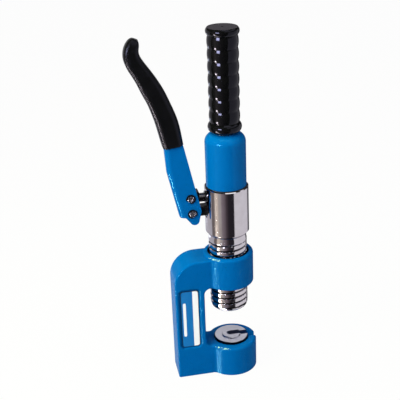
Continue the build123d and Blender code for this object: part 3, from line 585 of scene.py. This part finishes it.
def gloss_pvc(name, colours, grain_mm, grain_depth, roughness):
    """Black PVC. The eye gets a deep black with sharp small highlights, softened by a faint moulded grain
    and the greasy smears of a used handle. A face that looks straight up is worn dull, with a lighter
    grey as a painted sheen."""
    tree, place = new_material(name)
    grain = add(tree, "ShaderNodeTexNoise", {"Vector": place, "Scale": 1000 / grain_mm, "Detail": 2.0})
    relief = add(
        tree,
        "ShaderNodeBump",
        {"Height": grain.outputs["Fac"], "Strength": 1.0, "Distance": grain_depth * MM},
    )
    smear, tint = mottled(tree, place, HAND_SMEAR, 4.0, colours)
    clean, greasy = roughness
    dull = add(
        tree,
        "ShaderNodeMapRange",
        {"Value": smear, "From Min": 0.3, "From Max": 0.7, "To Min": clean, "To Max": greasy},
    )
    facing = add(tree, "ShaderNodeSeparateXYZ", {0: add(tree, "ShaderNodeTexCoord").outputs["Normal"]})
    rubbed_and_sheen = add(
        tree, "ShaderNodeMapRange", {"Value": facing.outputs["Z"], "From Min": 0.9, "From Max": 0.98}
    )
    gloss = add(
        tree, "ShaderNodeMapRange", {"Value": rubbed_and_sheen.outputs["Result"], "To Min": 0.5, "To Max": 0.0}
    )
    # Painted sheen: an upward face gets a lighter grey where its gloss is turned off.
    skin = add(
        tree,
        "ShaderNodeMix",
        {0: rubbed_and_sheen.outputs["Result"], 6: tint, 7: linear("#322f40")},
        data_type="RGBA",
    )
    shader = add(
        tree,
        "ShaderNodeBsdfPrincipled",
        {
            "Base Color": skin.outputs[2],
            "Roughness": dull.outputs["Result"],
            "Specular IOR Level": gloss.outputs["Result"],
            "IOR": 1.34,
            "Specular Tint": linear("#e0deff"),
            "Normal": relief.outputs["Normal"],
        },
    )
    add(tree, "ShaderNodeOutputMaterial", {"Surface": shader.outputs["BSDF"]})


def printed_plate(name):
    """Printed aluminium plate, bare of words. The eye gets a blue ground with a dark painted shade along its
    border where the pocket's wall shades it, a white band down the right and a white pill at the left,
    under a satin lacquer."""
    tree, place = new_material(name)
    low, high = (np.array(corner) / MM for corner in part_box("name_plate"))
    width = high[0] - low[0]
    axes = add(tree, "ShaderNodeSeparateXYZ", {0: place})
    band_edge = low[0] + BAND_PLACE * width
    band = add(
        tree, "ShaderNodeMath", {0: axes.outputs["X"], 1: band_edge * MM}, operation="GREATER_THAN"
    )
    # The pill is every point within its half width of a short upright line.
    centre = add(
        tree,
        "ShaderNodeClamp",
        {
            "Value": axes.outputs["Z"],
            "Min": (low[2] + PILL_FOOT) * MM,
            "Max": (high[2] - PILL_HEAD) * MM,
        },
    )
    pill_x = low[0] + PILL_PLACE * width
    nearest = add(
        tree, "ShaderNodeCombineXYZ", {"X": pill_x * MM, "Y": axes.outputs["Y"], "Z": centre.outputs[0]}
    )
    gap = add(tree, "ShaderNodeVectorMath", {0: place, 1: nearest.outputs[0]}, operation="DISTANCE")
    pill = add(tree, "ShaderNodeMath", {0: gap.outputs["Value"], 1: PILL_HALF * MM}, operation="LESS_THAN")
    white = add(tree, "ShaderNodeMath", {0: band.outputs[0], 1: pill.outputs[0]}, operation="MAXIMUM")
    ground = mottled(tree, place, PRINT_FADE, 3.0, ("#005fb4", "#006dc4"))[1]
    ink = add(
        tree,
        "ShaderNodeMix",
        {0: white.outputs[0], 6: ground, 7: linear("#e6e3ff")},
        data_type="RGBA",
    )
    # The border is painted shade where the pocket's wall shades the plate: every point within its width of
    # the outline with rounded corners.
    over = rounded_reach(tree, place, "name_plate")
    inside = add(tree, "ShaderNodeMath", {0: over, 1: (CORNER - BORDER_SHADE) * MM}, operation="LESS_THAN")
    shade_lined = add(
        tree,
        "ShaderNodeMix",
        {0: inside.outputs[0], 6: linear("#0a2a4c"), 7: ink.outputs[2]},
        data_type="RGBA",
    )
    shader = add(
        tree, "ShaderNodeBsdfPrincipled", {"Base Color": shade_lined.outputs[2], "Roughness": 0.34, "IOR": 1.4}
    )
    add(tree, "ShaderNodeOutputMaterial", {"Surface": shader.outputs["BSDF"]})


def seal_rubber(name):
    """Moulded nitrile rubber. The eye gets a matt near-black with a dusty bloom."""
    tree, place = new_material(name)
    bloom, tint = mottled(tree, place, RUBBER_BLOOM, 4.0, ("#0a0a0b", "#1b1b1d"))
    relief = add(tree, "ShaderNodeBump", {"Height": bloom, "Strength": 1.0, "Distance": BLOOM_DEPTH * MM})
    shader = add(
        tree,
        "ShaderNodeBsdfPrincipled",
        {"Base Color": tint, "Roughness": 0.55, "IOR": 1.45, "Normal": relief.outputs["Normal"]},
    )
    add(tree, "ShaderNodeOutputMaterial", {"Surface": shader.outputs["BSDF"]})


def blackened_steel(name):
    """Chemically blackened steel. The eye gets an oily blue-black whose shine comes and goes with the oil."""
    tree, place = new_material(name)
    film, tint = mottled(tree, place, OIL_FILM, 4.0, ("#0b0c10", "#22242b"))
    dull = add(
        tree,
        "ShaderNodeMapRange",
        {"Value": film, "From Min": 0.3, "From Max": 0.7, "To Min": 0.22, "To Max": 0.42},
    )
    shader = add(
        tree,
        "ShaderNodeBsdfPrincipled",
        {"Base Color": tint, "Metallic": 0.6, "Roughness": dull.outputs["Result"]},
    )
    add(tree, "ShaderNodeOutputMaterial", {"Surface": shader.outputs["BSDF"]})


# Sizes and colours that a user would change


class BarrelThreadSizes(bpy.types.PropertyGroup):
    """The screw on the cylinder barrel."""

    lead: FloatProperty(name="Lead", description="Rise of the thread in one turn, mm", default=6.8, min=1.0)
    depth: FloatProperty(name="Depth", description="Depth of the groove, mm", default=1.5, min=0.1)
    groove: FloatProperty(
        name="Groove", description="Share of the lead that is groove", default=0.4, subtype="FACTOR"
    )
    flank: FloatVectorProperty(
        name="Flank",
        description="Start and end of a flank, in grooves from its middle",
        size=2,
        default=(0.28, 0.52),
    )
    phase: FloatProperty(name="Phase", description="Where the groove starts, in turns", default=0.79)
    run_in: FloatVectorProperty(
        name="Run-in",
        description="Over the end: where the thread starts and is full, mm",
        size=2,
        default=(1.5, 6.0),
    )
    run_out: FloatVectorProperty(
        name="Run-out",
        description="Under its top: where the thread fades and is gone, mm",
        size=2,
        default=(3.6, 1.2),
    )
    neck: FloatProperty(name="Neck", description="Radius of the plain neck over the thread, mm", default=21.6)
    neck_length: FloatProperty(
        name="Neck length", description="From the thread's end to the pump body, mm", default=9.4
    )
    neck_step: FloatProperty(
        name="Neck step", description="Height of the step from thread to neck, mm", default=0.6
    )
    seam: FloatProperty(
        name="Seam", description="Depth of the seam groove under the pump body, mm", default=0.45
    )
    seam_height: FloatProperty(name="Seam height", description="Height of that groove, mm", default=3.2)
    seam_slope: FloatProperty(name="Seam slope", description="Height of its sloping foot, mm", default=0.3)
    end: FloatProperty(name="End", description="Radius of the flat end face, mm", default=18.6)
    end_round: FloatProperty(name="End round", description="Height of the rounded end, mm", default=7.0)
    spigot: FloatProperty(name="Spigot", description="Radius inside the pump body, mm", default=19.0)
    bore: FloatProperty(name="Bore", description="Radius of the ram's bore, mm", default=16.0)
    around: IntProperty(name="Segments", description="Quads round the barrel", default=168, min=48)


class LinkPinSizes(bpy.types.PropertyGroup):
    """The two pins of the pump lever."""

    shank: FloatProperty(name="Shank", description="Radius of a pin, mm", default=3.65)
    groove: FloatProperty(name="Groove", description="Radius at the clip's groove, mm", default=2.95)
    head: FloatProperty(name="Head", description="Thickness of the head, mm", default=2.0)
    chamfer: FloatProperty(name="Chamfer", description="Break at a pin's ends, mm", default=0.5)
    dimple: FloatProperty(name="Dimple", description="Radius of the dimple in a pin's end, mm", default=2.0)
    dimple_depth: FloatProperty(name="Dimple depth", description="Depth of that dimple, mm", default=0.8)


class ReturnSpringSizes(bpy.types.PropertyGroup):
    """The spring that draws the ram back."""

    wire: FloatProperty(name="Wire", description="Radius of the wire, mm", default=1.3)
    turns: FloatProperty(name="Turns", description="Turns of the coil", default=6.0)
    stroke: FloatProperty(name="Stroke", description="How far the ram presses it, mm", default=30.0)


class FinishColours(bpy.types.PropertyGroup):
    """Main colours, as sRGB hex."""

    enamel: StringProperty(name="Enamel", description="Blue enamel, lit", default="#0059ad")
    enamel_shade: StringProperty(
        name="Enamel shade", description="Blue enamel, thinner film", default="#0051a0"
    )
    pvc: StringProperty(name="PVC", description="Black PVC", default="#060608")
    pvc_worn: StringProperty(
        name="Worn PVC", description="Black PVC where hands have dulled it", default="#0b0b0e"
    )


class StageSizes(bpy.types.PropertyGroup):
    """Camera and light of the studio."""

    eye: FloatVectorProperty(
        name="Eye",
        description="Camera place",
        size=3,
        subtype="TRANSLATION",
        unit="LENGTH",
        default=(-0.1863, -0.8993, 0.6229),
    )
    aim: FloatVectorProperty(
        name="Aim",
        description="Point that the camera and the softboxes look at",
        size=3,
        subtype="TRANSLATION",
        unit="LENGTH",
        default=(0.0, 0.0, 0.2),
    )
    roll: FloatProperty(
        name="Roll", description="Turn about the view axis", subtype="ANGLE", default=radians(-1.477)
    )
    lens: FloatProperty(
        name="Lens", description="Focal length on a 36 mm sensor", unit="CAMERA", default=79.83
    )
    shift: FloatVectorProperty(name="Shift", description="Camera shift", size=2, default=(-0.0675, 0.0354))
    sky: FloatProperty(name="Sky", description="Strength of the even light", default=0.4)
    key: FloatProperty(name="Key", description="Power of the key softbox", subtype="POWER", default=6.0)
    left: FloatProperty(name="Left", description="Power of the left softbox", subtype="POWER", default=11.5)
    top: FloatProperty(
        name="Top", description="Power of the overhead softbox", subtype="POWER", default=13.0
    )
    right: FloatProperty(
        name="Right", description="Power of the right softbox", subtype="POWER", default=2.4
    )
    shine: FloatProperty(
        name="Shine",
        description="Share of the bright patches that gloss sees",
        subtype="FACTOR",
        default=1.0,
    )


# Steps that dress the solids


class BREAKER_OT_finishes(bpy.types.Operator):
    """Make every finish and give each CAD node the one its slot names"""

    bl_idname = "breaker.finishes"
    bl_label = "Finishes"

    def execute(self, context):
        colours = context.scene.breaker_colours
        enamel = (colours.enamel, colours.enamel_shade)
        pvc = (colours.pvc, colours.pvc_worn)
        collar_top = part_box("c_frame")[1][2] / MM
        die_x, die_radius = die_circle()
        chips_and_glints = (
            (0.0, COLLAR_RIM, collar_top - RIM_DROP, COLLAR_CHIP_GLINT_SIDE),
            (BOSS_CENTRE, BOSS_RIM, BOSS_TOP - RIM_DROP, BOSS_CHIP_GLINT_SIDE),
        )
        shaded_mouths = (
            (0.0, BARREL_GAP_SHADE, collar_top),
            (die_x, die_radius + DIE_GAP_SHADE, DIE_GAP_SHADE_LEVEL),
        )
        blue_enamel(
            "blue_enamel_casting",
            enamel,
            peel_mm=2.4,
            peel_depth=0.3,
            sparkle=(0.1, 2.6),
            chips_and_glints=chips_and_glints,
            shaded_mouths=shaded_mouths,
            lip="name_plate",
        )
        blue_enamel("blue_enamel_tube", enamel, peel_mm=1.6, peel_depth=0.003, sparkle=(1.0, 1.0))
        blue_enamel("blue_enamel_sheet", enamel, peel_mm=1.6, peel_depth=0.01, sparkle=(1.0, 1.0))
        printed_plate("printed_plate")
        groove_shade = (GROOVE_SHADE_RADIUS, GROOVE_SHADE_DEPTH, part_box("cylinder_barrel")[0][2] / MM + GROOVE_SHADE_START)
        bright_metal(
            "plated_steel",
            ("#e6e3e8", "#d6d0d4"),
            roughness=(0.06, 0.13),
            lines_mm=0.25,
            line_depth=0.0005,
            axis=(0, 0, 1),
            groove_shade=groove_shade,
        )
        faced_steel("ground_steel", ("#d8d8e0", "#c6c6d0"), ring_mm=1.1)
        for metal in BRIGHT_METALS:
            bright_metal(*metal)
        blackened_steel("blackened_steel")
        seal_rubber("seal_rubber")
        gloss_pvc("dipped_pvc", pvc, grain_mm=3.0, grain_depth=0.01, roughness=(0.3, 0.4))
        gloss_pvc("moulded_pvc", pvc, grain_mm=0.5, grain_depth=0.001, roughness=(0.05, 0.1))
        for part in frame["record"]["subparts"]:
            slots = frame["nodes"][part["node"]].data.materials
            slots.clear()
            slots.append(bpy.data.materials[part["material_slot"]])
        return {"FINISHED"}


class BREAKER_OT_barrel(bpy.types.Operator):
    """Cut the helical thread on the cylinder barrel"""

    bl_idname = "breaker.barrel"
    bl_label = "Threaded barrel"

    def execute(self, context):
        sizes = context.scene.breaker_thread
        low, high = (np.array(corner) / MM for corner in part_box("cylinder_barrel"))
        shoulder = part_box("pump_body")[0][2] / MM
        gland = (np.array(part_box("end_gland")[1]) / MM)[[0, 2]]
        radius, bottom, top = high[0], low[2], high[2]
        thread_top = shoulder - sizes.neck_length
        # End round: an arc from the end face up to the full radius.
        turn = np.linspace(0, pi / 2, NOSE_ROWS)
        swept = sizes.end + (radius - sizes.end) * np.sin(turn)
        nose = np.stack((swept, bottom + sizes.end_round * (1 - np.cos(turn))), axis=-1)
        screw_z = np.arange(bottom + sizes.end_round + FIRST_ROW, thread_top + ROW_OVER, ROW_STEP)
        screw = np.stack((np.full_like(screw_z, radius), screw_z), axis=-1)
        seam_foot = shoulder - sizes.seam_height
        rest = [
            (sizes.neck, thread_top + sizes.neck_step),
            (sizes.neck, seam_foot),
            (sizes.neck - sizes.seam, seam_foot + sizes.seam_slope),
            (sizes.neck - sizes.seam, shoulder),
            (sizes.spigot, shoulder),
            (sizes.spigot, top),
            (sizes.bore, top),
            (sizes.bore, gland[1]),
            (gland[0], gland[1]),
            (gland[0], bottom),
        ]
        profile = np.vstack((nose, screw, rest))
        level = profile[:, 1]
        angle = np.linspace(0, 2 * pi, sizes.around, endpoint=False)
        # Groove depth from the phase of a right-hand helix: z over the lead, less the angle in turns.
        phase = level[:, None] / sizes.lead - angle / (2 * pi) + sizes.phase
        off = np.abs((phase + 0.5) % 1.0 - 0.5) / sizes.groove
        cut = 1 - smooth(*sizes.flank, off)
        start, full = sizes.run_in
        fading, gone = sizes.run_out
        fade = smooth(bottom + start, bottom + full, level)
        fade = fade * (1 - smooth(thread_top - fading, thread_top - gone, level))
        fade[len(nose) + len(screw) :] = 0
        piece = surface("barrel_screw", turned(profile, sizes.around, -sizes.depth * cut * fade[:, None]))
        fit(piece, "pump", "plated_steel", "cylinder_barrel")
        return {"FINISHED"}


class BREAKER_OT_pins(bpy.types.Operator):
    """Turn the lever's two pins with their dimpled ends"""

    bl_idname = "breaker.pins"
    bl_label = "Link pins"

    def execute(self, context):
        sizes = context.scene.breaker_pins
        clip_low, clip_high = (corner[1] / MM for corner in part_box("retaining_clips"))
        for node in ("pivot_pin", "plunger_pin"):
            low, high = (np.array(corner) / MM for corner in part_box(node))
            middle, head = (low + high) / 2, (high[0] - low[0]) / 2
            front, back = low[1], high[1]
            # Dimple: an arc from the centre of the end face up to its rim.
            turn = np.linspace(0, pi / 2, DIMPLE_ROWS)
            depth = sizes.dimple_depth * np.cos(turn)
            bowl = np.stack((sizes.dimple * np.sin(turn), front + depth), axis=-1)
            rest = [
                (sizes.shank - sizes.chamfer, front),
                (sizes.shank, front + sizes.chamfer),
                (sizes.shank, clip_low),
                (sizes.groove, clip_low),
                (sizes.groove, clip_high),
                (sizes.shank, clip_high),
                (sizes.shank, back - sizes.head),
                (head, back - sizes.head),
                (head, back - sizes.chamfer),
                (head - sizes.chamfer, back),
                (0, back),
            ]
            # Turned about Z, then laid along Y at the pin's place.
            upright = turned(np.vstack((bowl, rest)), PIN_AROUND)
            points = upright[..., [0, 2, 1]] + (middle[0], 0, middle[2])
            fit(surface(node + "_turned", points, close_along=False), "lever", "pin_steel", node)
        return {"FINISHED"}


class BREAKER_OT_spring(bpy.types.Operator):
    """Wind the ram's return spring"""

    bl_idname = "breaker.spring"
    bl_label = "Return spring"

    def execute(self, context):
        sizes = context.scene.breaker_spring
        low, high = (np.array(corner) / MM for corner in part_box("return_spring"))
        length = high[2] - low[2]
        coil = (high[0] - low[0]) / 2 - sizes.wire
        # Helix carrying a wire's circle: its radius lies outwards and upwards, and the first and last rows
        # close on a point.
        share = np.linspace(0, 1, COIL_ROWS)[:, None]
        turn = 2 * pi * sizes.turns * share
        round_wire = np.linspace(0, 2 * pi, WIRE_AROUND, endpoint=False)
        wire = np.full_like(share, sizes.wire)
        wire[[0, -1]] = 0
        reach = coil + wire * np.cos(round_wire)
        level = low[2] + sizes.wire + (length - 2 * sizes.wire) * share + wire * np.sin(round_wire)
        points = np.stack((reach * np.cos(turn), reach * np.sin(turn), level), axis=-1)
        piece = surface("return_spring_coil", points, close_along=False)
        fit(piece, "pump", "spring_steel", "return_spring")
        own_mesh(piece)
        return {"FINISHED"}


class BREAKER_OT_stage(bpy.types.Operator):
    """Set the floor, soft light and the camera"""

    bl_idname = "breaker.stage"
    bl_label = "Stage"

    def execute(self, context):
        sizes = context.scene.breaker_stage
        scene = context.scene
        scene.view_settings.view_transform = "Standard"
        self.sky(scene, sizes)
        self.floor()
        aim = Vector(sizes.aim)
        for name, place, width, height, code in SOFTBOXES:
            self.softbox(name + "_softbox", getattr(sizes, name), Vector(place), aim, width, height, code)
        camera = bpy.data.cameras.new("photo_camera")
        camera.sensor_width = SENSOR
        camera.lens = sizes.lens
        camera.shift_x, camera.shift_y = sizes.shift
        camera.clip_end = FAR
        holder = bpy.data.objects.new("photo_camera", camera)
        look = (aim - Vector(sizes.eye)).to_track_quat("-Z", "Y")
        holder.matrix_world = look.to_matrix().to_4x4() @ Euler((0, 0, sizes.roll)).to_matrix().to_4x4()
        holder.location = sizes.eye
        scene.collection.objects.link(holder)
        scene.camera = holder
        return {"FINISHED"}

    def sky(self, scene, sizes):
        """Even light for most rays, white for the camera, and for gloss the flags of the studio: low cloths
        by compass direction up to just over the horizon, a dark gap, high panels over them, and the bright
        patches."""
        world = bpy.data.worlds.new("studio")
        world.use_nodes = True
        tree = world.node_tree
        tree.nodes.clear()
        rays = add(tree, "ShaderNodeLightPath")
        heading = add(tree, "ShaderNodeTexCoord").outputs["Generated"]
        axes = add(tree, "ShaderNodeSeparateXYZ", {0: heading})
        rise = axes.outputs["Z"]
        compass = add(
            tree, "ShaderNodeMath", {0: axes.outputs["Y"], 1: axes.outputs["X"]}, operation="ARCTAN2"
        ).outputs[0]
        share = add(tree, "ShaderNodeMapRange", {"Value": compass, "From Min": -pi, "From Max": pi})
        room = linear(ROOM_SHADE)
        # The low cloths end over the horizon; the high panels stand where the die's top looks.
        low = add(
            tree,
            "ShaderNodeMapRange",
            {"Value": rise, "From Min": sin(radians(LOW_GONE)), "From Max": sin(radians(LOW_FULL))},
        )
        high = add(
            tree,
            "ShaderNodeMath",
            {0: rise, 1: sin(radians(HIGH_MIDDLE)), 2: sin(radians(HIGH_HALF))},
            operation="COMPARE",
        )
        for marks, reach in ((LOW_FLAGS, low), (HIGH_PANELS, high)):
            cloth = add(tree, "ShaderNodeValToRGB", {"Fac": share.outputs["Result"]})
            stops = sorted((((TOWARD_CAMERA + turn + 180) % 360) / 360, code) for turn, code in marks)
            while len(cloth.color_ramp.elements) < len(stops):
                cloth.color_ramp.elements.new(0.5)
            for mark, (where, code) in zip(cloth.color_ramp.elements, stops):
                mark.position = where
                mark.color = linear(code)
            room = add(
                tree,
                "ShaderNodeMix",
                {0: reach.outputs[0], 6: room, 7: cloth.outputs["Color"]},
                data_type="RGBA",
            ).outputs[2]
        for turn, half, lowest, highest, code, strength in SHINES:
            centre = radians((TOWARD_CAMERA + turn + 180) % 360 - 180)
            across = add(tree, "ShaderNodeMath", {0: compass, 1: centre}, operation="SUBTRACT")
            aside = add(tree, "ShaderNodeMath", {0: across.outputs[0]}, operation="ABSOLUTE")
            edges = (
                (aside.outputs[0], radians(half + SIDE_EDGE), radians(half - SIDE_EDGE)),
                (rise, sin(radians(lowest - END_EDGE)), sin(radians(lowest + END_EDGE))),
                (rise, sin(radians(highest + END_EDGE)), sin(radians(highest - END_EDGE))),
            )
            patch = 1.0
            for value, outside, inside in edges:
                step = add(
                    tree, "ShaderNodeMapRange", {"Value": value, "From Min": outside, "From Max": inside}
                )
                patch = add(
                    tree, "ShaderNodeMath", {0: step.outputs["Result"], 1: patch}, operation="MULTIPLY"
                ).outputs[0]
            glow = tuple(strength * sizes.shine * part for part in linear(code)[:3])
            room = add(
                tree, "ShaderNodeVectorMath", {0: patch, 1: glow, 2: room}, operation="MULTIPLY_ADD"
            ).outputs[0]
        even = add(tree, "ShaderNodeBackground", {"Color": (1, 1, 1, 1), "Strength": sizes.sky})
        flags = add(tree, "ShaderNodeBackground", {"Color": room, "Strength": 1.0})
        white = add(tree, "ShaderNodeBackground", {"Color": (1, 1, 1, 1), "Strength": 1.0})
        gloss = add(
            tree,
            "ShaderNodeMixShader",
            {0: rays.outputs["Is Glossy Ray"], 1: even.outputs[0], 2: flags.outputs[0]},
        )
        seen = add(
            tree,
            "ShaderNodeMath",
            {0: rays.outputs["Is Camera Ray"], 1: rays.outputs["Is Transmission Ray"]},
            operation="MAXIMUM",
        )
        mix = add(
            tree, "ShaderNodeMixShader", {0: seen.outputs[0], 1: gloss.outputs[0], 2: white.outputs[0]}
        )
        add(tree, "ShaderNodeOutputWorld", {"Surface": mix.outputs[0]})
        scene.world = world

    def floor(self):
        """A flat sheet of white paper under the foot. The eye gets nearly plain white, with soft shadows
        from the light that the paper takes."""
        tree = new_material("white_paper_sweep")[0]
        rays = add(tree, "ShaderNodeLightPath")
        glow = add(
            tree, "ShaderNodeMath", {0: rays.outputs["Is Camera Ray"], 1: PAPER_WHITE}, operation="MULTIPLY"
        )
        paper = add(tree, "ShaderNodeBsdfDiffuse", {"Color": linear("#b8b8ba")})
        light = add(tree, "ShaderNodeEmission", {"Color": (1, 1, 1, 1), "Strength": 1.0})
        mix = add(
            tree, "ShaderNodeMixShader", {0: glow.outputs[0], 1: paper.outputs[0], 2: light.outputs[0]}
        )
        add(tree, "ShaderNodeOutputMaterial", {"Surface": mix.outputs[0]})
        reach = np.linspace(-PAPER_REACH, PAPER_REACH, 3)
        x, y = np.meshgrid(reach, reach, indexing="ij")
        points = np.stack((x, y, np.full_like(x, PAPER_LEVEL)), axis=-1)
        sheet = surface("paper_sweep", points, close_along=False, close_around=False)
        sheet.data.materials.append(bpy.data.materials["white_paper_sweep"])
        sheet.visible_glossy = False

    def softbox(self, name, power, place, aim, width, height, code):
        """A soft rectangular lamp at its place, turned to the aim and not seen in gloss."""
        lamp = bpy.data.lights.new(name, "AREA")
        lamp.shape = "RECTANGLE"
        lamp.size, lamp.size_y = width, height
        lamp.energy = power
        lamp.color = linear(code)[:3]
        holder = bpy.data.objects.new(name, lamp)
        holder.location = place
        holder.rotation_euler = (aim - place).to_track_quat("-Z", "Y").to_euler()
        holder.visible_glossy = False
        bpy.context.scene.collection.objects.link(holder)


class BREAKER_PT_panel(bpy.types.Panel):
    """Sizes, colours and the steps that dress the chain breaker"""

    bl_label = "Chain Breaker"
    bl_idname = "BREAKER_PT_panel"
    bl_space_type = "VIEW_3D"
    bl_region_type = "UI"
    bl_category = "Chain Breaker"

    def draw(self, context):
        for step in STEPS:
            self.layout.operator(step.bl_idname)
        for name, group in GROUPS.items():
            box = self.layout.box()
            for key in group.__annotations__:
                box.prop(getattr(context.scene, name), key)


GROUPS = {
    "breaker_thread": BarrelThreadSizes,
    "breaker_pins": LinkPinSizes,
    "breaker_spring": ReturnSpringSizes,
    "breaker_colours": FinishColours,
    "breaker_stage": StageSizes,
}
STEPS = (BREAKER_OT_finishes, BREAKER_OT_barrel, BREAKER_OT_pins, BREAKER_OT_spring, BREAKER_OT_stage)


def register():
    for kind in (*GROUPS.values(), *STEPS, BREAKER_PT_panel):
        bpy.utils.register_class(kind)
    for name, group in GROUPS.items():
        setattr(bpy.types.Scene, name, PointerProperty(type=group))


def unregister():
    for name in GROUPS:
        delattr(bpy.types.Scene, name)
    for kind in (BREAKER_PT_panel, *reversed(STEPS), *GROUPS.values()):
        bpy.utils.unregister_class(kind)


def main():
    register()
    for step in STEPS:
        family, name = step.bl_idname.split(".")
        getattr(getattr(bpy.ops, family), name)()


if __name__ == "__main__":
    main()
